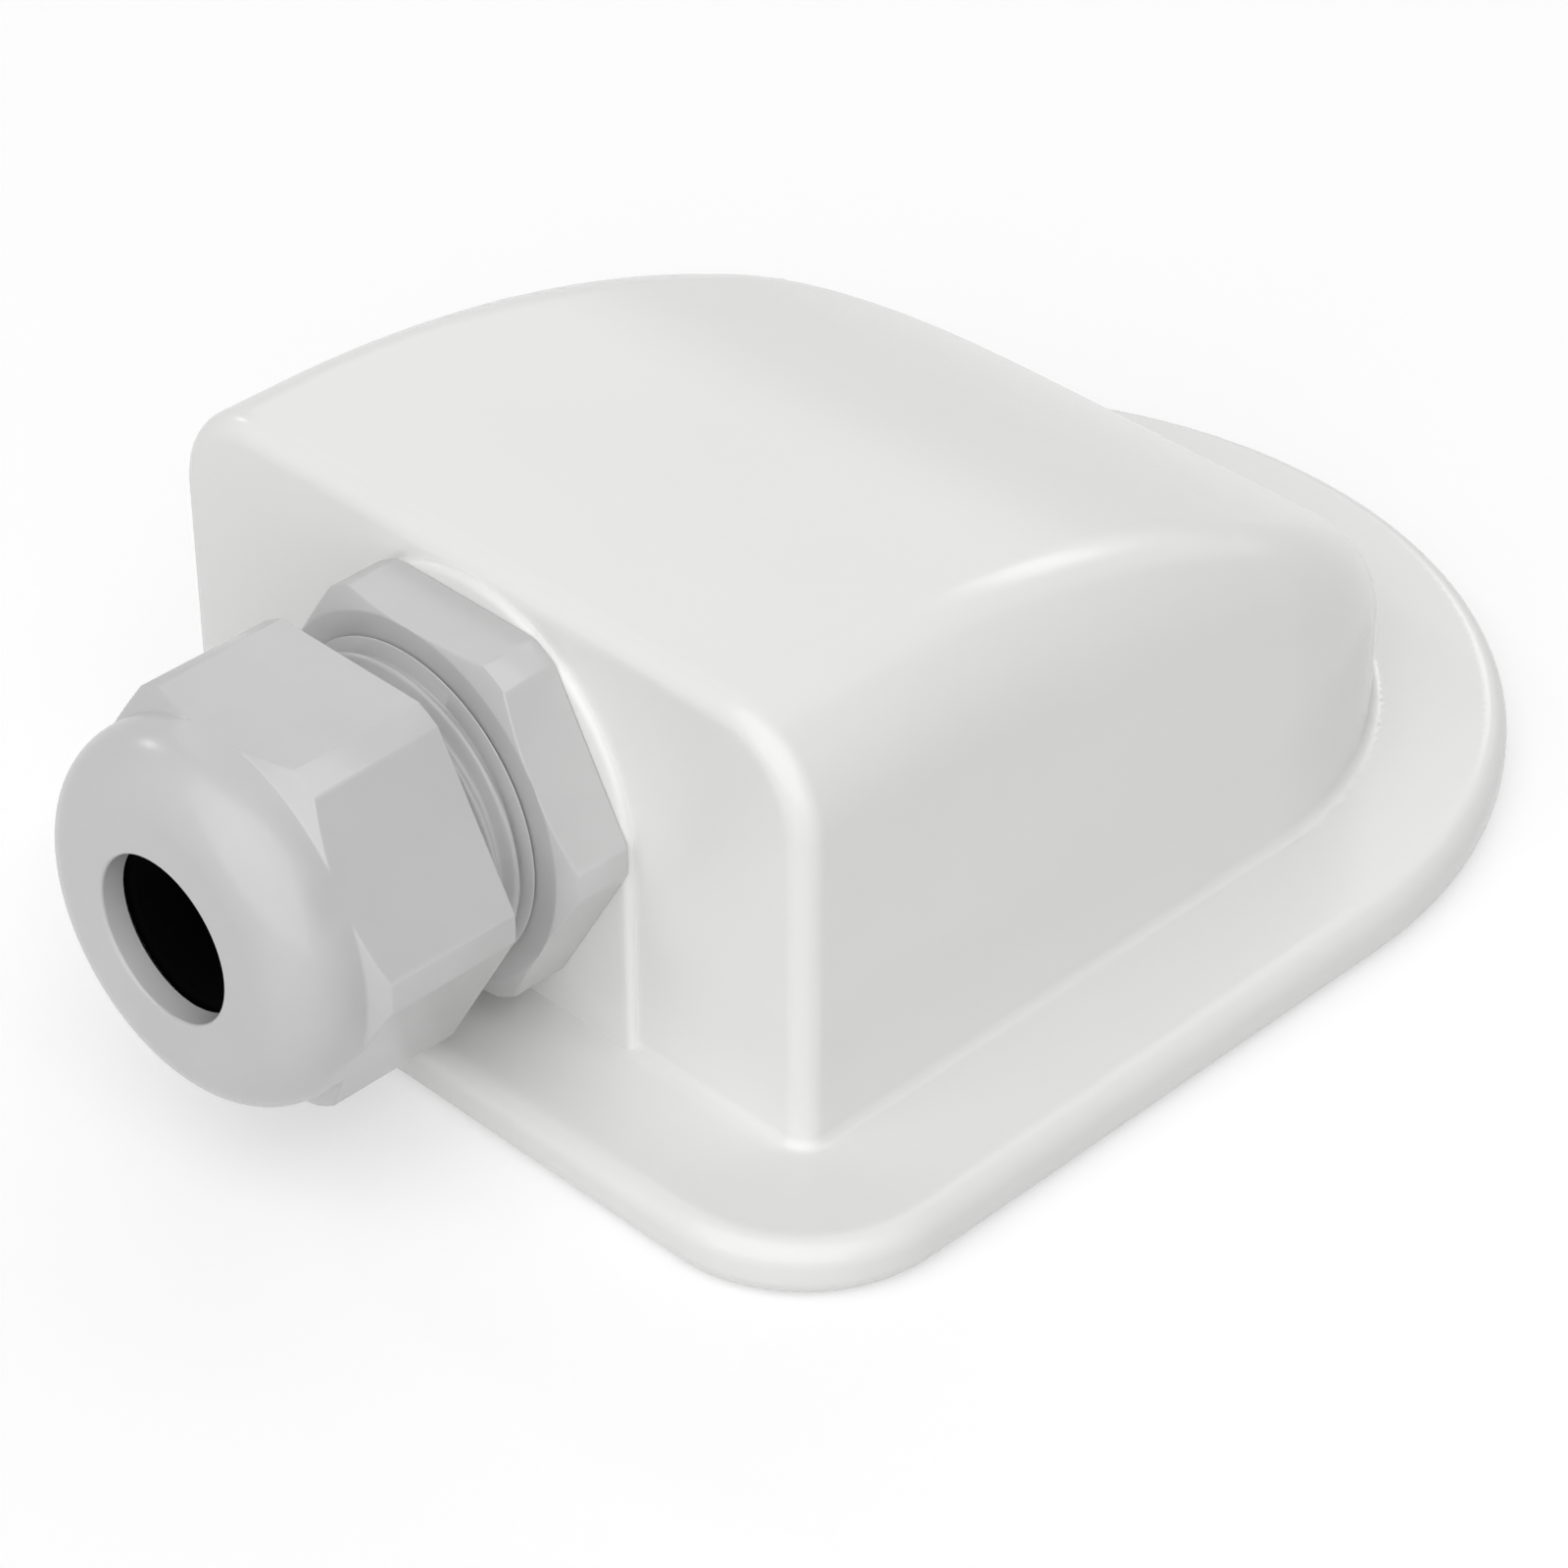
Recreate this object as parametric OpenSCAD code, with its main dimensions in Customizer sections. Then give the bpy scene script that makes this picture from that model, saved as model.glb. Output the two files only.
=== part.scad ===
// Roof cable entry box: moulded housing with one cable gland.
// Millimetres. +Z up from the roof, the gland looks along -Y, X is left to right.

/* [Housing] */
// Width of the hood over its straight side walls
hood_width = 54; // [52:0.5:70]
// Straight length of the hood's side walls, front wall to start of the round back
hood_straight = 41.6; // [36:0.1:60]
// Height of the hood's top above the roof
hood_height = 32.8; // [32:0.1:42]
// Rounding between top and side walls
shoulder_r = 6.9; // [4:0.1:9]
// Rounding round the front wall
front_edge_r = 1.6; // [1:0.1:3]
// Length of the level part of the top
top_flat = 6.5; // [4:0.5:14]
// Radius of the arc in which the top runs down to the back
top_arc_r = 88; // [80:1:140]
// Wall thickness of the hood
wall_t = 2.5; // [2:0.1:3]

/* [Flange] */
// Flange width outside the hood, the same all round
flange_margin = 9; // [6:0.1:14]
// Flange thickness
flange_t = 4; // [3.9:0.1:5]
// Rounding of the flange's upper edge
flange_edge_r = 2.2; // [1:0.1:2.4]
// Rounding of the flange's lower edge
flange_foot_r = 1.6; // [0.5:0.1:1.7]

/* [Gland] */
// Across flats of gland body and dome nut
gland_af = 24; // [23:0.5:25]
// How much is turned off the corners of the hexagons
corner_cut = 0.5; // [0.3:0.02:0.8]
// Outside diameter of the gland's threads
thread_d = 20; // [19:0.1:20.2]
// Thread pitch, the nut's travel for one turn
thread_pitch = 1.5; // [1:0.25:1.5]
// Turns of the nut from the place shown to fully tight
tighten_turns = 2; // [1:0.5:2.5]
// Thickness of the body's hexagon
body_hex_t = 4.55; // [4:0.05:5.5]
// Depth of the slant at the hexagon's front corners
hex_bevel = 0.6; // [0.3:0.1:1]
// Height of the collar in front of the hexagon over the thread
collar_rim = 0.45; // [0.3:0.05:0.6]
// Length of the collar
collar_len = 0.3; // [0.2:0.05:0.5]
// Length of the threaded neck in front of the hexagon
neck_len = 9.6; // [9:0.1:10.5]
// Length of the thread that goes through the front wall
tail_len = 8.6; // [8:0.1:12]
// Wall of the tail
tail_wall = 3.45; // [3:0.05:4.5]
// Gap between hexagon and dome nut as shown
nut_gap = 4.3; // [4.1:0.1:6]
// Length of the dome nut
nut_len = 15; // [14.5:0.5:18]
// Rounding of the dome's front edge
dome_edge_r = 4; // [3:0.1:4.5]
// Cable hole in the dome nut
nut_hole_d = 10.7; // [9.5:0.1:11.4]
// Thickness of the dome round the cable hole
lip_t = 1.65; // [1.2:0.05:2]

/* [Seal and claw] */
// Wall of the rubber seal
seal_wall = 2.4; // [1.9:0.1:3.9]
// Wall of the neck round the claw
socket_wall = 1.95; // [1.7:0.05:2.1]
// Wall of the claw
claw_wall = 1.6; // [1.3:0.05:1.7]
// Depth of the claw's rear end inside the nut
claw_set = 1.6; // [1:0.1:2]
// Length of the slanted finger tips
finger_tip_len = 1.2; // [0.8:0.1:1.3]
// Length of the claw's ring that the slots leave whole
claw_ring_len = 3; // [2:0.1:4]
// Number of claw fingers
finger_count = 8; // [6:1:10]
// Width of the slots between the fingers
slot_w = 1; // [0.6:0.1:1.4]
// Thickness of the flat gasket under the hexagon
gasket_t = 1.2; // [1:0.1:1.6]
// Width of the flat gasket
gasket_w = 1.3; // [1:0.1:1.6]

/* [Boss and fits] */
// How far the arch boss stands out of the front wall
boss_h = 0.55; // [0.5:0.05:1.5]
// Rounding of the boss's front edge
boss_edge_r = 0.45; // [0.2:0.05:0.48]
// Rim of the boss outside the hexagon's flats
boss_rim = 1.15; // [0.8:0.05:2]
// Gap between the top of the boss and the top of the hood
boss_top_gap = 1.25; // [0.8:0.05:3]
// Wall of the tapped boss inside the hood
inner_boss_wall = 2.2; // [1.8:0.1:3]
// Length of the tapped boss inside the hood
inner_boss_len = 4; // [3:0.1:5]
// Running clearance between thread crests and nut bore, and between claw and neck
run_clear = 0.05; // [0.03:0.01:0.08]
// Clearance between tail thread and tapped hole
tap_clear = 0.05; // [0.03:0.01:0.08]
// Clearance between gasket and tail thread
gasket_clear = 0.2; // [0.1:0.05:0.3]
// Free gap between parts that face each other inside the nut
free_gap = 0.4; // [0.35:0.05:0.5]

/* [Hidden] */
round_fn = 96;
over = 1;
shoulder_steps = 8;
edge_steps = 4;
side_steps = 9;
back_steps = 18;
back_end_angle = 86;
shoulder_share = 0.97;

hood_hw = hood_width / 2;
flange_hw = hood_hw + flange_margin;
flange_corner_r = flange_margin + front_edge_r;
y_back = hood_straight + flange_hw;
cavity_edge_r = front_edge_r / 2;
cavity_shoulder_min = 1;

thread_r = thread_d / 2;
thread_chamfer = thread_pitch / 2;
thread_travel = tighten_turns * thread_pitch;
hex_corner_r = gland_af / 2 / cos(30) - corner_cut;
flat_r = gland_af / 2;
collar_r = thread_r + collar_rim;
boss_r = flat_r + boss_rim;
gland_z = hood_height - boss_top_gap - boss_r;

// distances out of the front wall, along the gland
u_tail = boss_h - tail_len;
u_hex = boss_h;
u_neck = u_hex + body_hex_t;
u_neck_end = u_neck + neck_len;
u_nut = u_neck + nut_gap;
u_face = u_nut + nut_len;
u_dome = u_face - dome_edge_r;
dome_plain = 0.8;
dome_shoulder = 0.9;
u_shoulder = u_dome - dome_plain - dome_shoulder;
u_lip = u_face - lip_t;
throat_spare = 0.2;
u_throat = u_lip - free_gap - throat_spare;
u_nut_bore = u_neck_end + thread_travel + free_gap;
u_claw = u_nut + claw_set;
u_socket = u_claw - thread_travel - free_gap;
u_seal = u_lip - free_gap;
shift_y = (u_face - y_back) / 2;

dome_over = 0.09;
dome_r = flat_r + dome_over;
tail_r = thread_r - tap_clear;
tail_bore_r = tail_r - tail_wall;
socket_r = thread_r - socket_wall;
claw_r = socket_r - run_clear;
seal_r = claw_r - claw_wall;
seal_bore_r = seal_r - seal_wall;
seal_mouth = seal_wall / 3;
seal_rear_mouth = seal_wall / 2;
seal_inset = claw_wall / 3;
nut_hole_r = nut_hole_d / 2;
nut_bore_r = thread_r + run_clear;
throat_r = seal_r + free_gap + throat_spare;

// the nut's inner cone and the finger tips that lie against it
cone_fall = (nut_bore_r - throat_r) / (u_throat - u_nut_bore);
tip_gap = free_gap * sqrt(1 + cone_fall * cone_fall);
u_finger = u_nut_bore + (nut_bore_r - claw_r - tip_gap) / cone_fall;
u_tip = u_finger + finger_tip_len;
tip_r = claw_r - cone_fall * finger_tip_len;

gasket_ri = tail_r + gasket_clear;
gasket_ro = gasket_ri + gasket_w;
tapped_r = tail_r + tap_clear;
inner_boss_r = thread_r + inner_boss_wall;
y_inner_boss = wall_t + inner_boss_len;

// height of the top at a place y, for a hood that is set in by inset
function top_z(y, inset) =
    let (r = top_arc_r - inset, u = max(0, y - top_flat))
    hood_height - inset - (r - sqrt(r * r - u * u));

// steepness of the top at a place y
function top_fall(y, inset) =
    let (r = top_arc_r - inset, u = max(0, y - top_flat))
    u / sqrt(r * r - u * u);

// drop of a shoulder of radius r at a distance d from the wall, under a top that falls outwards by fall
function shoulder_drop(d, r, fall) =
    d < r * (1 - sin(atan(fall)))
        ? fall * (d - r) + r * sqrt(1 + fall * fall) - sqrt(max(0, r * r - pow(r - d, 2)))
        : 0;

// one side of the hood's section across Y, from the foot to the middle of the top
function half_section(y, hw, inset, sr, cut, foot) =
    let (
        back = max(0, y - hood_straight),
        w = sqrt(max(0, hw * hw - back * back)) - cut,
        r = sr - cut,
        reach = min(r, shoulder_share * (hw - back)),
        a_end = reach < r ? acos(1 - reach / r) : 90,
        z = top_z(y, inset) - cut
    )
    concat(
        [[w, foot]],
        [for (j = [0 : shoulder_steps])
            let (
                d = r * (1 - cos(a_end * j / shoulder_steps)),
                x = back > 0 ? sqrt(max(0, pow(hw - d, 2) - back * back)) : w - d,
                side = back > 0 ? back / (hw - d) : 0,
                fall = side * top_fall(hood_straight + hw * side, inset)
            )
            [x, z - shoulder_drop(d, r, fall)]]
    );

function full_section(y, half) =
    let (n = len(half))
    concat(
        [for (p = half) [-p[0], y, p[1]]],
        [for (i = [n - 1 : -1 : 0]) [half[i][0], y, half[i][1]]]
    );

// closed skin over rings that all have the same number of points
module skin(rings) {
    m = len(rings[0]);
    n = len(rings);
    polyhedron(
        points = [for (r = rings) for (p = r) p],
        faces = concat(
            [[for (j = [0 : m - 1]) j]],
            [for (i = [0 : n - 2]) for (j = [0 : m - 1])
                let (k = (j + 1) % m)
                [i * m + j, (i + 1) * m + j, (i + 1) * m + k]],
            [for (i = [0 : n - 2]) for (j = [0 : m - 1])
                let (k = (j + 1) % m)
                [i * m + j, (i + 1) * m + k, i * m + k]],
            [[for (j = [m - 1 : -1 : 0]) (n - 1) * m + j]]
        )
    );
}

// hood set in by inset all round, with its front edge rounded by edge
module hood_form(inset, edge, foot) {
    hw = hood_hw - inset;
    sr = max(cavity_shoulder_min, shoulder_r - inset);
    y_edge = inset + edge;
    skin(concat(
        [for (i = [0 : edge_steps])
            let (b = 90 * i / edge_steps, y = y_edge - edge * cos(b))
            full_section(y, half_section(y, hw, inset, sr, edge * (1 - sin(b)), foot))],
        [for (i = [1 : side_steps])
            let (y = y_edge + (hood_straight - y_edge) * i / side_steps)
            full_section(y, half_section(y, hw, inset, sr, 0, foot))],
        [for (i = [1 : back_steps])
            let (y = hood_straight + hw * sin(back_end_angle * i / back_steps))
            full_section(y, half_section(y, hw, inset, sr, 0, foot))]
    ));
}

// flange outline set in by inset, at height z
function flange_ring(inset, z) =
    let (
        cx = flange_hw - flange_corner_r,
        cy = flange_corner_r - flange_margin,
        rc = flange_corner_r - inset,
        rb = flange_hw - inset
    )
    concat(
        [for (a = [-90 : 15 : 0]) [cx + rc * cos(a), cy + rc * sin(a), z]],
        [for (a = [0 : 5 : 180]) [rb * cos(a), hood_straight + rb * sin(a), z]],
        [for (a = [180 : 15 : 270]) [-cx + rc * cos(a), cy + rc * sin(a), z]]
    );

module flange_form() {
    skin(concat(
        [for (b = [-90 : 22.5 : 0])
            flange_ring(flange_foot_r * (1 - cos(b)), flange_foot_r * (1 + sin(b)))],
        [for (b = [0 : 15 : 90])
            flange_ring(flange_edge_r * (1 - cos(b)), flange_t - flange_edge_r * (1 - sin(b)))]
    ));
}

// turns a profile of [radius, distance out of the wall] about the gland's line
module turned(profile) {
    translate([0, 0, gland_z])
        rotate([90, 0, 0])
            rotate_extrude($fn = round_fn)
                polygon(profile);
}

// hexagon with level flats above and below, between two distances out of the wall
module hexagon(af, u0, u1) {
    translate([0, -u0, gland_z])
        rotate([90, 0, 0])
            cylinder(h = u1 - u0, r = af / 2 / cos(30), $fn = 6);
}

// arch-shaped boss with a rounded front edge, from the flange up to round the gland
module boss_form(foot) {
    half = boss_r - boss_edge_r;
    u_side = boss_h - boss_edge_r;
    root = wall_t / 2;
    translate([0, 0, gland_z])
        rotate([90, 0, 0])
            rotate_extrude($fn = round_fn)
                union() {
                    polygon([
                        [0, -root],
                        [boss_r, -root],
                        [boss_r, u_side],
                        [half, boss_h],
                        [0, boss_h]
                    ]);
                    translate([half, u_side])
                        circle(r = boss_edge_r, $fn = round_fn);
                }
    translate([0, 0, foot])
        linear_extrude(gland_z - foot)
            union() {
                polygon([
                    [-boss_r, root],
                    [-boss_r, -u_side],
                    [-half, -boss_h],
                    [half, -boss_h],
                    [boss_r, -u_side],
                    [boss_r, root]
                ]);
                for (side = [-1, 1])
                    translate([side * half, -u_side])
                        circle(r = boss_edge_r, $fn = round_fn);
            }
}

module place() {
    translate([0, shift_y, 0])
        children();
}

module housing() {
    color("white")
        place()
            difference() {
                union() {
                    flange_form();
                    hood_form(0, front_edge_r, flange_t / 2);
                    boss_form(flange_t / 2);
                }
                difference() {
                    hood_form(wall_t, cavity_edge_r, -over);
                    turned([
                        [0, -y_inner_boss],
                        [inner_boss_r, -y_inner_boss],
                        [inner_boss_r, 0],
                        [0, 0]
                    ]);
                }
                turned([
                    [0, -y_inner_boss - over],
                    [tapped_r, -y_inner_boss - over],
                    [tapped_r, boss_h + over],
                    [0, boss_h + over]
                ]);
            }
}

module gland_body() {
    color("lightgray")
        place()
            difference() {
                union() {
                    intersection() {
                        hexagon(gland_af, u_hex - over, u_neck + over);
                        turned([
                            [0, u_hex],
                            [hex_corner_r, u_hex],
                            [hex_corner_r, u_neck - hex_bevel],
                            [flat_r, u_neck],
                            [0, u_neck]
                        ]);
                    }
                    turned([
                        [0, u_tail],
                        [tail_r - thread_chamfer, u_tail],
                        [tail_r, u_tail + thread_chamfer],
                        [tail_r, u_neck - body_hex_t / 2],
                        [collar_r, u_neck - body_hex_t / 2],
                        [collar_r, u_neck + collar_len],
                        [thread_r, u_neck + collar_len],
                        [thread_r, u_neck_end - thread_chamfer],
                        [thread_r - thread_chamfer, u_neck_end],
                        [0, u_neck_end]
                    ]);
                }
                turned([
                    [0, u_tail - over],
                    [tail_bore_r, u_tail - over],
                    [tail_bore_r, u_socket],
                    [socket_r, u_socket],
                    [socket_r, u_neck_end + over],
                    [0, u_neck_end + over]
                ]);
                turned([
                    [tail_r, u_hex - over],
                    [gasket_ro, u_hex - over],
                    [gasket_ro, u_hex + gasket_t],
                    [tail_r, u_hex + gasket_t]
                ]);
            }
}

module flat_gasket() {
    color("dimgray")
        place()
            turned([
                [gasket_ri, u_hex],
                [gasket_ro, u_hex],
                [gasket_ro, u_hex + gasket_t],
                [gasket_ri, u_hex + gasket_t]
            ]);
}

module clamp_claw() {
    color("lightgray")
        place()
            difference() {
                turned([
                    [seal_r, u_claw],
                    [claw_r, u_claw],
                    [claw_r, u_finger],
                    [tip_r, u_tip],
                    [seal_r, u_tip]
                ]);
                for (i = [0 : finger_count - 1])
                    translate([0, 0, gland_z])
                        rotate([0, (i + 0.5) * 360 / finger_count, 0])
                            translate([seal_r - over, -u_tip - over, -slot_w / 2])
                                cube([claw_wall + 2 * over, u_tip - u_claw - claw_ring_len + over, slot_w]);
            }
}

module seal() {
    color("black")
        place()
            turned([
                [seal_bore_r + seal_rear_mouth, u_claw + seal_inset],
                [seal_r, u_claw + seal_inset],
                [seal_r, u_seal - seal_inset],
                [seal_r - seal_inset, u_seal],
                [seal_bore_r + seal_mouth, u_seal],
                [seal_bore_r, u_seal - seal_mouth],
                [seal_bore_r, u_claw + seal_inset + seal_rear_mouth]
            ]);
}

module dome_nut() {
    color("silver")
        place()
            difference() {
                intersection() {
                    hexagon(gland_af, u_nut - over, u_face + over);
                    translate([0, 0, gland_z])
                        rotate([90, 0, 0])
                            rotate_extrude($fn = round_fn)
                                union() {
                                    polygon([
                                        [0, u_nut],
                                        [hex_corner_r, u_nut],
                                        [hex_corner_r, u_shoulder],
                                        [dome_r, u_shoulder + dome_shoulder],
                                        [dome_r, u_dome],
                                        [0, u_dome]
                                    ]);
                                    translate([0, u_dome - over])
                                        square([dome_r - dome_edge_r, dome_edge_r + over]);
                                    translate([dome_r - dome_edge_r, u_dome])
                                        circle(r = dome_edge_r, $fn = round_fn);
                                }
                }
                turned([
                    [0, u_nut - over],
                    [nut_bore_r, u_nut - over],
                    [nut_bore_r, u_nut_bore],
                    [throat_r, u_throat],
                    [throat_r, u_lip],
                    [nut_hole_r, u_lip],
                    [nut_hole_r, u_face + over],
                    [0, u_face + over]
                ]);
            }
}

housing();
gland_body();
flat_gasket();
clamp_claw();
seal();
dome_nut();
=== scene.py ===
import math
import bpy
import numpy as np
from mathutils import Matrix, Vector


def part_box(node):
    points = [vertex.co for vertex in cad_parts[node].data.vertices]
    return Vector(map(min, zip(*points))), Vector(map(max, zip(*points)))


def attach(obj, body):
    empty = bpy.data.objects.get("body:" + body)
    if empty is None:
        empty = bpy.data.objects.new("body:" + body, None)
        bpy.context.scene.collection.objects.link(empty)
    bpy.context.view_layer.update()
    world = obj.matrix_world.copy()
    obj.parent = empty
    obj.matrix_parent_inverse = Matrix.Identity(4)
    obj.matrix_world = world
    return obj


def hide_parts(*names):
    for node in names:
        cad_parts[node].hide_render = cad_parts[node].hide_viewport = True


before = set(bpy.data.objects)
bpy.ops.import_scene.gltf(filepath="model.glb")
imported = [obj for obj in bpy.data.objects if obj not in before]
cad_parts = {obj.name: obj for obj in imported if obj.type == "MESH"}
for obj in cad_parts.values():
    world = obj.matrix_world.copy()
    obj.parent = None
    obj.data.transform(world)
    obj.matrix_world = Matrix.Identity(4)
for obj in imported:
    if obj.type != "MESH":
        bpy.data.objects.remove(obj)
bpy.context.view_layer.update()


# Housing: one white ABS moulding that is bonded flat to the roof.
# A D-shaped flange carries a hollow hood that slopes down to a round back, with a soft fillet at its foot,
# and an arch-shaped boss on the front wall takes the gland's thread.
MM = 0.001
housing_low, housing_high = (np.array(corner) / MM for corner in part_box("housing"))
nut_low, nut_high = (np.array(corner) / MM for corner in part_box("dome_nut"))

flange_margin = 9.0
flange_t = 4.0
flange_edge_r = 1.6
flange_foot_r = 1.6
hood_half = housing_high[0] - flange_margin
hood_height = housing_high[2]
shoulder_r = 6.9
front_edge_r = 1.6
top_flat = 6.5
top_arc_r = 88.0
wall_t = 2.5
foot_fillet_r = 0.7
boss_r = 13.15
boss_h = 0.55
boss_edge_r = 0.45
boss_root = 0.6
boss_bore_r = 10.05
boss_land = 0.5
tapped_r = 10.0
tapped_boss_r = 12.2
tapped_boss_len = 4.0
cavity_edge_r = 0.8
front_y = housing_low[1] + flange_margin
back_centre_y = housing_high[1] - flange_margin - hood_half
gland_z = (nut_low[2] + nut_high[2]) / 2


def rounded_meet(a, b, radius, lean=0.0):
    """Distance to what lies inside both a and b, with the edge between them rounded.
    lean is the cosine of the angle between the two surfaces' normals."""
    a = a + radius
    b = b + radius
    edge = np.sqrt(np.maximum(a * a + b * b - 2 * lean * a * b, 0) / (1 - lean * lean))
    return np.where((a > lean * b) & (b > lean * a), edge, np.maximum(a, b)) - radius


def filleted_join(a, b, radius):
    """Distance to what lies inside a or b, with a fillet in the corner between them."""
    return -rounded_meet(-a, -b, radius)


def housing_distance(x, y, z):
    """Distance to the housing's skin in millimetres, negative in the plastic."""
    back = np.maximum(y - back_centre_y, 0)
    plan = np.hypot(x, back)
    slope_run = np.maximum(y - front_y - top_flat, 0)
    slope_rise = z - (hood_height - top_arc_r)
    slope_reach = np.hypot(slope_run, slope_rise)
    lean = back / np.maximum(plan, 1e-6) * slope_run / slope_reach
    hood = rounded_meet(plan - hood_half, slope_reach - top_arc_r, shoulder_r, lean)
    hood_outside = rounded_meet(hood, front_y - y, front_edge_r)

    raised = np.maximum(hood_outside, flange_t / 2 - z)

    flange_side = plan - hood_half - flange_margin
    flange_front = front_y - flange_margin - y
    outline = rounded_meet(flange_side, flange_front, flange_margin + front_edge_r)
    flange_top = rounded_meet(outline, z - flange_t, flange_edge_r)
    flange = np.maximum(flange_top, rounded_meet(outline, -z, flange_foot_r))
    solid = filleted_join(raised, flange, foot_fillet_r)

    from_gland = np.hypot(x, z - gland_z)
    depth = y - front_y - wall_t
    cavity = rounded_meet(hood + wall_t, -depth, cavity_edge_r)
    tapped_boss = np.maximum(from_gland - tapped_boss_r, depth - tapped_boss_len)
    cavity = rounded_meet(cavity, -tapped_boss, cavity_edge_r)
    hole = np.maximum(from_gland - tapped_r, depth - tapped_boss_len - 2 * wall_t)
    shell = rounded_meet(solid, -cavity, cavity_edge_r)
    return np.maximum(shell, -hole)


def grid_line(low, high, stretches, coarse):
    """Places along one axis: coarse steps, with finer ones in each (start, end, step) stretch."""
    marks = [low]
    while marks[-1] < high:
        fine = [step for start, end, step in stretches if start <= marks[-1] < end]
        marks.append(marks[-1] + min(fine + [coarse]))
    return np.array(marks)


def skin_net(distance, lines):
    """A closed net of quads on the surface where distance is 0, with its true normals."""
    inside = distance(*np.meshgrid(*lines, indexing="ij")) < 0
    cells = [n - 1 for n in inside.shape]
    corners = np.zeros(cells, int)
    for i, j, k in np.ndindex(2, 2, 2):
        corners += inside[i : i + cells[0], j : j + cells[1], k : k + cells[2]]
    crossed = (corners > 0) & (corners < 8)
    number = np.full(cells, -1)
    number[crossed] = np.arange(crossed.sum())

    where = np.nonzero(crossed)
    low = np.stack([line[i] for line, i in zip(lines, where)], 1)
    high = np.stack([line[i + 1] for line, i in zip(lines, where)], 1)
    points = (low + high) / 2
    rim = 0.01 * (high - low)
    low, high = low + rim, high - rim
    tiny = 1e-3
    least_slope = 0.2
    rounds = 8
    for _ in range(rounds):
        value = distance(*points.T)
        slope = np.stack(
            [distance(*(points + tiny * axis).T) - distance(*(points - tiny * axis).T) for axis in np.eye(3)], 1
        ) / (2 * tiny)
        step = value / np.maximum((slope * slope).sum(1), least_slope)
        points = np.clip(points - step[:, None] * slope, low, high)
    normals = slope / np.linalg.norm(slope, axis=1)[:, None]

    quads = []
    for axis in range(3):
        start = np.moveaxis(inside, axis, 0)[:-1, 1:-1, 1:-1]
        end = np.moveaxis(inside, axis, 0)[1:, 1:-1, 1:-1]
        cell = np.moveaxis(number, axis, 0)
        ring = np.stack([cell[:, :-1, :-1], cell[:, 1:, :-1], cell[:, 1:, 1:], cell[:, :-1, 1:]], -1)
        if axis == 1:
            ring = ring[..., ::-1]
        quads.append(ring[start & ~end])
        quads.append(ring[~start & end][:, ::-1])
    return points, np.concatenate(quads), normals


def ring_net(turn, rings):
    """A closed net round the gland's axis, through rings of (distance out of the wall, radius at each turn)."""
    count = len(turn)
    points = []
    for u, radius in rings:
        radius = np.broadcast_to(radius, count)
        across, up = radius * np.sin(turn), gland_z + radius * np.cos(turn)
        points.append(np.stack([across, np.full(count, front_y - u), up], 1))
    this = np.arange(len(rings) * count).reshape(len(rings), count)
    after = np.roll(this, -1, 0)
    faces = np.stack([this, after, np.roll(after, -1, 1), np.roll(this, -1, 1)], -1).reshape(-1, 4)
    return np.concatenate(points), faces


def add_piece(name, points, faces, normals=None):
    """A smooth-shaded mesh object from points in millimetres, with its square corners kept sharp."""
    square_corner = math.radians(70)
    mesh = bpy.data.meshes.new(name)
    mesh.from_pydata((np.asarray(points) * MM).tolist(), [], np.asarray(faces).tolist())
    mesh.shade_smooth()
    if normals is None:
        mesh.set_sharp_from_angle(angle=square_corner)
    else:
        mesh.normals_split_custom_set_from_vertices(normals.tolist())
    piece = bpy.data.objects.new(name, mesh)
    bpy.context.scene.collection.objects.link(piece)
    return piece


net_margin = 1.0
net_step = 0.55
fine_step = 0.25
front_edge_zone = (front_y - 1, front_y + 2, fine_step)
flange_edge_zone = (2.2, 5, fine_step)
skin_points, skin_faces, skin_normals = skin_net(
    housing_distance,
    [
        grid_line(housing_low[0] - net_margin, housing_high[0] + net_margin, [], net_step),
        grid_line(housing_low[1] - net_margin, housing_high[1] + net_margin, [front_edge_zone], net_step),
        grid_line(housing_low[2] - net_margin, housing_high[2] + net_margin, [flange_edge_zone], net_step),
    ],
)


def arch_radius(turn, inset):
    """Reach of the boss's arch from the gland's axis, set in from its outline; it goes down into the flange."""
    upright = (boss_r - inset) / np.maximum(np.abs(np.sin(turn)), 1e-6)
    foot = (gland_z - flange_t / 2 - inset) / np.maximum(-np.cos(turn), 1e-6)
    return np.where(np.cos(turn) > 0, boss_r - inset, np.minimum(upright, foot))


boss_turn = np.radians(np.arange(0, 360, 1.0))
edge_turns = np.radians(np.linspace(0, 90, 5))
boss_rings = [
    (boss_h - boss_edge_r * (1 - np.sin(a)), arch_radius(boss_turn, boss_edge_r * (1 - np.cos(a))))
    for a in edge_turns
]
boss_rings += [(boss_h, arch_radius(boss_turn, 2 * boss_edge_r))]
boss_rings += [(boss_h, boss_bore_r + boss_land), (boss_h, boss_bore_r)]
boss_rings += [(-boss_root, boss_bore_r), (-boss_root, arch_radius(boss_turn, 0))]
boss_points, boss_faces = ring_net(boss_turn, boss_rings)
housing_shell = add_piece(
    "housing_shell",
    np.concatenate([skin_points, boss_points]),
    np.concatenate([skin_faces, boss_faces + len(skin_points)]),
    np.concatenate([skin_normals, np.zeros_like(boss_points)]),
)


def srgb(code):
    """Linear colour from an sRGB hex code."""
    parts = [int(code[i : i + 2], 16) / 255 for i in (1, 3, 5)]
    return [c / 12.92 if c <= 0.04045 else ((c + 0.055) / 1.055) ** 2.4 for c in parts] + [1.0]


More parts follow.
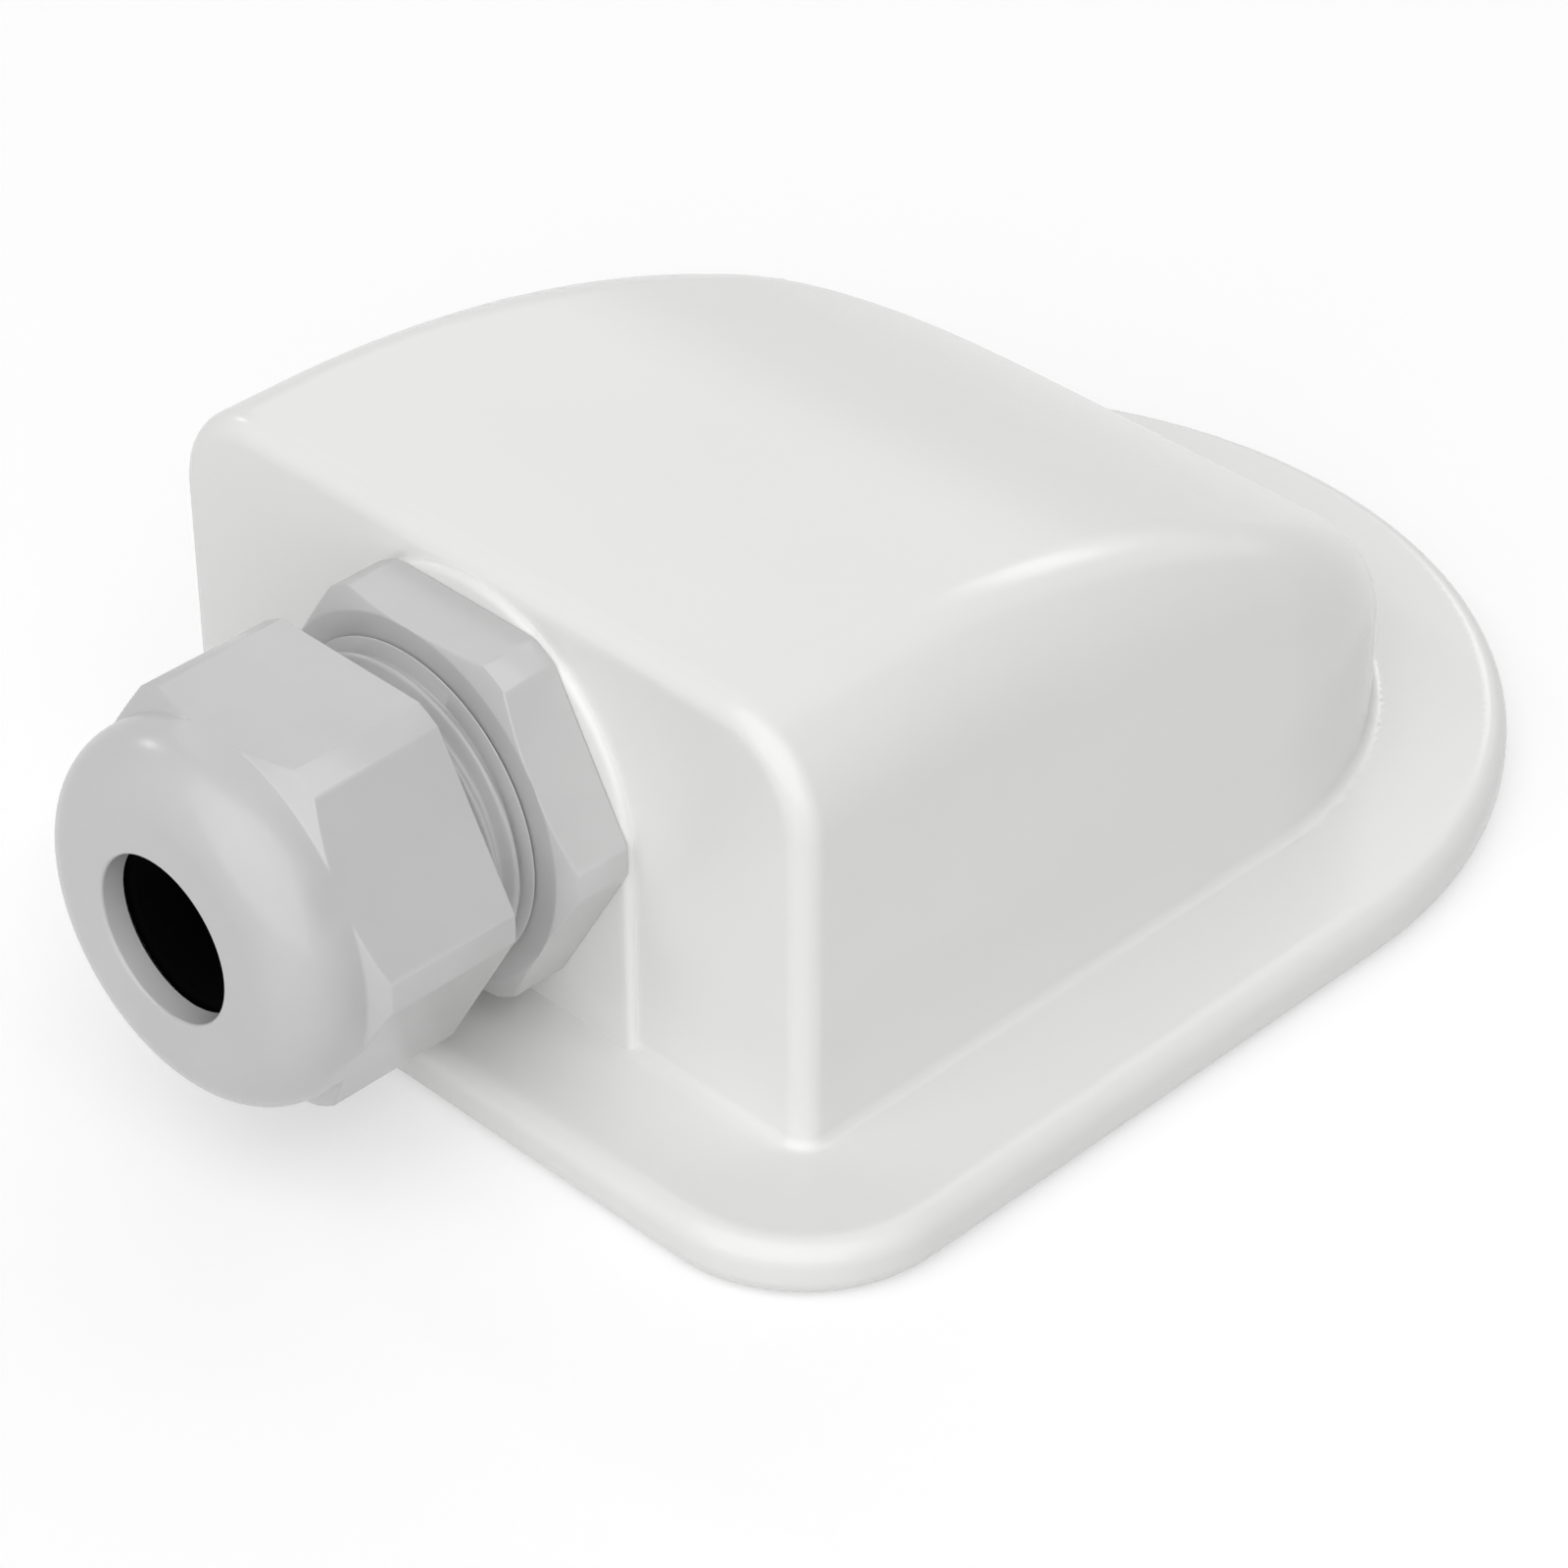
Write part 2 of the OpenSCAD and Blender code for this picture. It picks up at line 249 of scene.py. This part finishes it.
def add_node(tree, kind, links=None, **settings):
    """Adds a node, sets its options and inputs, and links its inputs to other nodes' outputs."""
    made = tree.nodes.new(kind)
    for name, value in settings.items():
        setattr(made, name, value)
    for name, value in (links or {}).items():
        if isinstance(value, bpy.types.NodeSocket):
            tree.links.new(value, made.inputs[name])
        else:
            made.inputs[name].default_value = value
    return made


# Moulded ABS: a solid white with a faint flow in it, and a satin skin from a fine eroded mould, so edges take
# soft highlights and no face is quite even. The mould's grit is drawn coarser than it is, so that it shows.
abs_white = bpy.data.materials.new("moulded_white_abs")
abs_white.use_nodes = True
tree = abs_white.node_tree
tree.nodes.clear()
flow_mm = 22.0
grit_mm = 0.28
grit_depth_mm = 0.01
place = add_node(tree, "ShaderNodeTexCoord").outputs["Object"]
flow = add_node(tree, "ShaderNodeTexNoise", {"Vector": place, "Scale": 1 / (flow_mm * MM), "Detail": 3.0})
grit = add_node(tree, "ShaderNodeTexNoise", {"Vector": place, "Scale": 1 / (grit_mm * MM), "Detail": 2.0})
colour = add_node(tree, "ShaderNodeValToRGB", {"Fac": flow.outputs["Fac"]})
colour.color_ramp.elements[0].position = 0.3
colour.color_ramp.elements[0].color = srgb("#ECECEB")
colour.color_ramp.elements[1].position = 0.7
colour.color_ramp.elements[1].color = srgb("#EEEEED")
gloss = add_node(tree, "ShaderNodeMapRange", {"Value": grit.outputs["Fac"], "To Min": 0.2, "To Max": 0.26})
relief = add_node(
    tree, "ShaderNodeBump", {"Height": grit.outputs["Fac"], "Strength": 0.1, "Distance": grit_depth_mm * MM}
)
surface = add_node(
    tree,
    "ShaderNodeBsdfPrincipled",
    {
        "Base Color": colour.outputs["Color"],
        "Roughness": gloss.outputs["Result"],
        "Normal": relief.outputs["Normal"],
        "IOR": 1.53,
    },
)
add_node(tree, "ShaderNodeOutputMaterial", {"Surface": surface.outputs["BSDF"]})

housing_shell.data.materials.append(abs_white)
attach(housing_shell, "box")
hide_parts("housing")


# Gland body: light grey nylon, screwed into the boss. Its hexagon has turned-off corners with a slant in front,
# a thin collar stands in front of it, and a right-hand thread of 1.5 mm pitch runs along the neck and the tail.
gland_af = nut_high[2] - nut_low[2]
flat_r = gland_af / 2
hex_corner_r = nut_high[0]
hex_t = 4.55
hex_bevel = 0.6
bevel_land = 0.1
hex_edge = 0.15
thread_r = 10.0
thread_pitch = 1.5
thread_depth = 0.85
thread_chamfer = 0.75
crest_share = 0.16
root_share = 0.2
first_crest = 6.53
collar_proud = 0.45
collar_r = thread_r + collar_proud
collar_len = 0.3
collar_groove = 0.12
collar_edge = 0.05
neck_len = 9.6
tail_r = 9.95
tail_len = 8.6
tail_bore_r = 6.5
socket_r = 8.05
socket_u = 7.6
socket_chamfer = 0.2
gasket_seat_r = 11.45
gasket_t = 1.2
u_hex = boss_h
u_neck = u_hex + hex_t
u_neck_end = u_neck + neck_len
u_tail = u_hex - tail_len


def turn_angles(step):
    """Angles round the gland, evenly spaced and with close pairs at the edges of the hexagon's corner strips."""
    strip_edge = math.degrees(math.acos(flat_r / hex_corner_r))
    pairs = (-0.6, -0.2, 0.2, 0.6)
    close = [side * strip_edge + off for side in (-1, 1) for off in pairs]
    even = [angle for angle in np.arange(-30, 30, step) if min(abs(angle - c) for c in close) > step / 3]
    return np.radians(np.sort([60 * k + angle for k in range(6) for angle in even + close]))


def soft_least(a, b, blend=0.03):
    """The smaller of a and b, with the change from one to the other smoothed."""
    share = np.clip(0.5 + 0.5 * (b - a) / blend, 0, 1)
    return b + (a - b) * share - blend * share * (1 - share)


def flats(turn):
    """Radius of the hexagon with level flats above and below, at every turn angle."""
    return flat_r / np.cos((turn + math.pi / 6) % (math.pi / 3) - math.pi / 6)


def thread_radius(turn, u, crest_r):
    """Radius of the right-hand thread at a distance u out of the wall, at every turn angle."""
    phase = (u - first_crest) / thread_pitch + turn / (2 * math.pi)
    off_crest = np.abs((phase + 0.5) % 1 - 0.5)
    flank = np.clip((off_crest - crest_share / 2) / (0.5 - crest_share / 2 - root_share / 2), 0, 1)
    return crest_r - thread_depth * flank


turn = turn_angles(1.0)
prism = soft_least(flats(turn), hex_corner_r)
thread_step = thread_pitch / 12
hidden_thread_step = 1.5 * thread_step
u_thread = u_neck + collar_len + collar_groove
body_rings = [(u_tail, tail_bore_r)]
body_rings += [
    (u, np.minimum(thread_radius(turn, u, tail_r), tail_r - thread_chamfer + u - u_tail))
    for u in np.arange(u_tail, u_hex + gasket_t, hidden_thread_step)
]
body_rings += [(u_hex + gasket_t, tail_r - thread_depth), (u_hex + gasket_t, gasket_seat_r), (u_hex, gasket_seat_r)]
body_rings += [(u_hex + hex_edge * (1 - np.sin(a)), prism - hex_edge * (1 - np.cos(a))) for a in edge_turns[::-1]]
body_rings += [
    (u_neck - hex_bevel * (r - flat_r) / (hex_corner_r - flat_r), soft_least(flats(turn), r))
    for r in np.linspace(hex_corner_r, flat_r, 15)
]
body_rings += [
    (u_neck, flat_r - bevel_land),
    (u_neck, thread_r - thread_depth / 2),
    (u_neck + collar_groove, thread_r - thread_depth / 2),
    (u_neck + collar_groove + collar_edge, collar_r - collar_edge),
    (u_neck + collar_groove + 2 * collar_edge, collar_r),
    (u_neck + collar_len - collar_edge, collar_r),
    (u_neck + collar_len, collar_r - collar_edge),
]
body_rings += [
    (u, np.minimum(thread_radius(turn, u, thread_r), thread_r - thread_chamfer + u_neck_end - u))
    for u in np.arange(u_thread, u_neck_end, thread_step)
]
body_rings += [(u_neck_end, thread_r - thread_chamfer), (u_neck_end, socket_r + socket_chamfer)]
body_rings += [(u_neck_end - socket_chamfer, socket_r), (socket_u, socket_r), (socket_u, tail_bore_r)]
gland_piece = add_piece("gland_body_moulding", *ring_net(turn, body_rings))


# Moulded nylon PA66: an even light grey with the faint cloudiness of a semi-crystalline plastic, and a satin skin
# about as glossy as the housing's, with its fine relief drawn coarser than it is, so that it shows.
nylon_grey = bpy.data.materials.new("moulded_grey_nylon")
nylon_grey.use_nodes = True
tree = nylon_grey.node_tree
tree.nodes.clear()
cloud_mm = 6.0
skin_mm = 0.22
skin_depth_mm = 0.01
place = add_node(tree, "ShaderNodeTexCoord").outputs["Object"]
cloud = add_node(tree, "ShaderNodeTexNoise", {"Vector": place, "Scale": 1 / (cloud_mm * MM), "Detail": 4.0})
skin = add_node(tree, "ShaderNodeTexNoise", {"Vector": place, "Scale": 1 / (skin_mm * MM), "Detail": 2.0})
colour = add_node(tree, "ShaderNodeValToRGB", {"Fac": cloud.outputs["Fac"]})
colour.color_ramp.elements[0].position = 0.3
colour.color_ramp.elements[0].color = srgb("#C6C6C6")
colour.color_ramp.elements[1].position = 0.7
colour.color_ramp.elements[1].color = srgb("#CACACA")
gloss = add_node(tree, "ShaderNodeMapRange", {"Value": skin.outputs["Fac"], "To Min": 0.22, "To Max": 0.265})
relief = add_node(
    tree, "ShaderNodeBump", {"Height": skin.outputs["Fac"], "Strength": 0.1, "Distance": skin_depth_mm * MM}
)
surface = add_node(
    tree,
    "ShaderNodeBsdfPrincipled",
    {
        "Base Color": colour.outputs["Color"],
        "Roughness": gloss.outputs["Result"],
        "Normal": relief.outputs["Normal"],
        "IOR": 1.53,
    },
)
add_node(tree, "ShaderNodeOutputMaterial", {"Surface": surface.outputs["BSDF"]})

gland_piece.data.materials.append(nylon_grey)
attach(gland_piece, "box")
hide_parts("gland_body")


# Clamp claw: a nylon ring of sprung fingers inside the nut, which close on the seal as the nut is tightened.
# Its solid has its slots and its taper already, so it stays and takes the nylon's finish.
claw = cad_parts["clamp_claw"]
claw.data.materials.clear()
claw.data.materials.append(nylon_grey)


# Seal and flat gasket: black EPDM rubber. The seal is a bush that the claw presses on the cable,
# and the gasket is a flat ring between hexagon and boss.
seal_low, seal_high = (np.array(corner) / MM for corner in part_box("seal"))
seal_r = seal_high[0]
seal_bore_r = 4.0
seal_mouth = 0.8
seal_rear_mouth = 1.5 * seal_mouth
seal_inset = 1.6 / 3
u_seal_rear = front_y - seal_high[1]
u_seal_front = front_y - seal_low[1]
lip_r = 0.35
lip_turns = np.radians(np.linspace(0, 90, 6))
seal_rings = [
    (u_seal_rear, seal_bore_r + seal_rear_mouth),
    (u_seal_rear, seal_r - lip_r),
    (u_seal_rear + lip_r, seal_r),
    (u_seal_front - seal_inset, seal_r),
    (u_seal_front, seal_r - seal_inset),
    (u_seal_front, seal_bore_r + seal_mouth + lip_r),
]
seal_rings += [
    (u_seal_front - lip_r * (1 - np.cos(a)), seal_bore_r + seal_mouth + lip_r * (1 - np.sin(a)))
    for a in lip_turns[1:]
]
seal_rings += [
    (u_seal_front - seal_mouth - lip_r, seal_bore_r),
    (u_seal_rear + seal_rear_mouth, seal_bore_r),
]
seal_piece = add_piece("seal_bush", *ring_net(np.radians(np.arange(0, 360, 2.0)), seal_rings))

# EPDM rubber: a deep matt black with a slightly grainy moulded skin.
rubber_black = bpy.data.materials.new("moulded_black_epdm")
rubber_black.use_nodes = True
tree = rubber_black.node_tree
tree.nodes.clear()
grain_mm = 0.3
grain_depth_mm = 0.02
place = add_node(tree, "ShaderNodeTexCoord").outputs["Object"]
grain = add_node(tree, "ShaderNodeTexNoise", {"Vector": place, "Scale": 1 / (grain_mm * MM), "Detail": 3.0})
colour = add_node(tree, "ShaderNodeValToRGB", {"Fac": grain.outputs["Fac"]})
colour.color_ramp.elements[0].color = srgb("#010101")
colour.color_ramp.elements[1].color = srgb("#050505")
relief = add_node(
    tree, "ShaderNodeBump", {"Height": grain.outputs["Fac"], "Strength": 0.4, "Distance": grain_depth_mm * MM}
)
surface = add_node(
    tree,
    "ShaderNodeBsdfPrincipled",
    {
        "Base Color": colour.outputs["Color"],
        "Roughness": 0.9,
        "Normal": relief.outputs["Normal"],
        "IOR": 1.5,
        "Specular IOR Level": 0.03,
    },
)
add_node(tree, "ShaderNodeOutputMaterial", {"Surface": surface.outputs["BSDF"]})

seal_piece.data.materials.append(rubber_black)
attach(seal_piece, "insert")
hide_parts("seal")
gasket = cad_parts["flat_gasket"]
gasket.data.materials.clear()
gasket.data.materials.append(rubber_black)


# Dome nut: light grey nylon, screwed on the neck. The hexagon's flats run into a turned dome,
# which leaves a small slanted facet at each corner, and the cable hole is in the dome's face.
u_nut = front_y - nut_high[1]
u_face = front_y - nut_low[1]
nut_edge = 0.15
nut_mouth = 0.6
dome_proud = 0.09
dome_r = flat_r + dome_proud
dome_edge_r = 4.0
dome_shoulder = 0.9
dome_blend = 0.15
facet_run = 1.7
u_dome = u_face - dome_edge_r
u_shoulder = u_dome - facet_run
nut_hole_r = 5.35
hole_edge = 0.25
lip_t = 1.65
throat_r = 7.0
throat_len = 0.6
u_lip = u_face - lip_t
u_throat = u_lip - throat_len
u_nut_bore = 18.1
thread_gap = 0.12
thread_end = 0.05

turn = turn_angles(0.5)
prism = soft_least(flats(turn), hex_corner_r)
nut_rings = [(u_nut, thread_r + nut_mouth)]
nut_rings += [(u_nut + nut_edge * (1 - np.sin(a)), prism - nut_edge * (1 - np.cos(a))) for a in edge_turns[::-1]]
nut_rings += [
    (u, soft_least(flats(turn), np.interp(u, [u_shoulder, u_shoulder + dome_shoulder], [hex_corner_r, dome_r])))
    for u in np.linspace(u_shoulder, u_dome, 20)
]
dome_turns = np.radians(np.linspace(0, 90, 26))
nut_rings += [
    (u_dome + dome_edge_r * np.sin(a), soft_least(flats(turn), dome_r - dome_edge_r * (1 - np.cos(a)), dome_blend))
    for a in dome_turns[1:]
]
nut_rings += [
    (u_face - hole_edge * (1 - np.cos(a)), nut_hole_r + hole_edge * (1 - np.sin(a))) for a in edge_turns
]
nut_rings += [(u_lip, nut_hole_r), (u_lip, throat_r), (u_throat, throat_r), (u_nut_bore, thread_r + thread_gap)]
nut_rings += [
    (u, np.maximum(thread_radius(turn, u, thread_r) + thread_gap, thread_r + nut_mouth - (u - u_nut)))
    for u in np.arange(u_nut_bore - thread_step, u_nut + thread_end, -hidden_thread_step)
]
nut_piece = add_piece("dome_nut_moulding", *ring_net(turn, nut_rings))
nut_piece.data.materials.append(nylon_grey)
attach(nut_piece, "nut")
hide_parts("dome_nut")


# Studio: a pale floor under the flange, a white surround, large soft lights from the front, above and behind,
# a weak low one at the side, and two small ones that give the glints on the nut's dome and the hood's shoulder.
floor_half = 0.6
floor_mesh = bpy.data.meshes.new("studio_floor")
floor_corners = [(floor_half * x, floor_half * y, 0) for x, y in ((-1, -1), (1, -1), (1, 1), (-1, 1))]
floor_mesh.from_pydata(floor_corners, [], [(0, 1, 2, 3)])
floor = bpy.data.objects.new("studio_floor", floor_mesh)
bpy.context.scene.collection.objects.link(floor)

# Floor paint: matt off-white that takes the shadow, and reads as white to the camera and in reflections.
floor_paint = bpy.data.materials.new("matt_floor_paint")
floor_paint.use_nodes = True
tree = floor_paint.node_tree
tree.nodes.clear()
floor_glow = 0.4
rays = add_node(tree, "ShaderNodeLightPath").outputs
seen = add_node(tree, "ShaderNodeMath", {0: rays["Is Camera Ray"], 1: rays["Is Glossy Ray"]}, operation="MAXIMUM")
seen = add_node(tree, "ShaderNodeMath", {0: seen.outputs[0], 1: rays["Is Transmission Ray"]}, operation="MAXIMUM")
lift = add_node(tree, "ShaderNodeMath", {0: seen.outputs[0], 1: floor_glow}, operation="MULTIPLY")
glow = add_node(tree, "ShaderNodeEmission", {"Color": srgb("#FFFFFF"), "Strength": lift.outputs[0]})
matt = add_node(tree, "ShaderNodeBsdfDiffuse", {"Color": srgb("#DADADA")})
both = add_node(tree, "ShaderNodeAddShader", {0: matt.outputs[0], 1: glow.outputs[0]})
add_node(tree, "ShaderNodeOutputMaterial", {"Surface": both.outputs[0]})
floor_mesh.materials.append(floor_paint)

# Surround: even white light from all sides, pure white where the camera or a reflection looks into it.
surround = bpy.data.worlds.new("studio_surround")
surround.use_nodes = True
tree = surround.node_tree
tree.nodes.clear()
surround_light = 0.2
rays = add_node(tree, "ShaderNodeLightPath").outputs
seen = add_node(tree, "ShaderNodeMath", {0: rays["Is Camera Ray"], 1: rays["Is Glossy Ray"]}, operation="MAXIMUM")
seen = add_node(tree, "ShaderNodeMath", {0: seen.outputs[0], 1: rays["Is Transmission Ray"]}, operation="MAXIMUM")
level = add_node(tree, "ShaderNodeMapRange", {"Value": seen.outputs[0], "To Min": surround_light, "To Max": 1.0})
sky = add_node(tree, "ShaderNodeBackground", {"Color": srgb("#FFFFFF"), "Strength": level.outputs["Result"]})
add_node(tree, "ShaderNodeOutputWorld", {"Surface": sky.outputs[0]})
bpy.context.scene.world = surround

light_distance = 1.0


def soft_light(name, azimuth, elevation, size, power):
    """A square soft light that looks at the box from an azimuth (0 is in front) and a height angle."""
    a, e = math.radians(azimuth), math.radians(elevation)
    lamp = bpy.data.lights.new(name, "AREA")
    lamp.size = size
    lamp.energy = power
    holder = bpy.data.objects.new(name, lamp)
    aim = Vector((math.sin(a) * math.cos(e), -math.cos(a) * math.cos(e), math.sin(e)))
    holder.location = aim * light_distance
    holder.rotation_euler = aim.to_track_quat("Z", "Y").to_euler()
    bpy.context.scene.collection.objects.link(holder)


soft_light("front_light", azimuth=27, elevation=36, size=1.8, power=12.1)
soft_light("top_light", azimuth=60, elevation=66, size=1.5, power=2.2)
soft_light("back_light", azimuth=-150, elevation=42, size=1.2, power=3.0)
soft_light("side_fill", azimuth=76, elevation=12, size=0.8, power=0.35)
soft_light("left_glint", azimuth=-82, elevation=30, size=0.12, power=0.36)
soft_light("back_glint", azimuth=-160, elevation=28, size=0.2, power=0.36)


# Camera: looks down on the front right corner at the photograph's angle, through a long lens.
# Its place and lens were fitted to the hexagons, the hood and the flange.
view_azimuth = math.radians(44.81)
view_elevation = math.radians(36.20)
view_distance = 314.5
view_target = Vector((5.27, front_y + 20.23, 8.93)) * MM
focal_px = 5173.0
frame_px = 1600
sensor_mm = 36.0
view_back = Vector((
    math.sin(view_azimuth) * math.cos(view_elevation),
    -math.cos(view_azimuth) * math.cos(view_elevation),
    math.sin(view_elevation),
))
lens = bpy.data.cameras.new("photo_camera")
lens.sensor_width = sensor_mm
lens.lens = focal_px * sensor_mm / frame_px
lens.clip_start = 0.01
lens.clip_end = 20.0
camera = bpy.data.objects.new("photo_camera", lens)
camera.location = view_target + view_back * view_distance * MM
camera.rotation_euler = view_back.to_track_quat("Z", "Y").to_euler()
bpy.context.scene.collection.objects.link(camera)
bpy.context.scene.camera = camera
bpy.context.scene.view_settings.view_transform = "Standard"
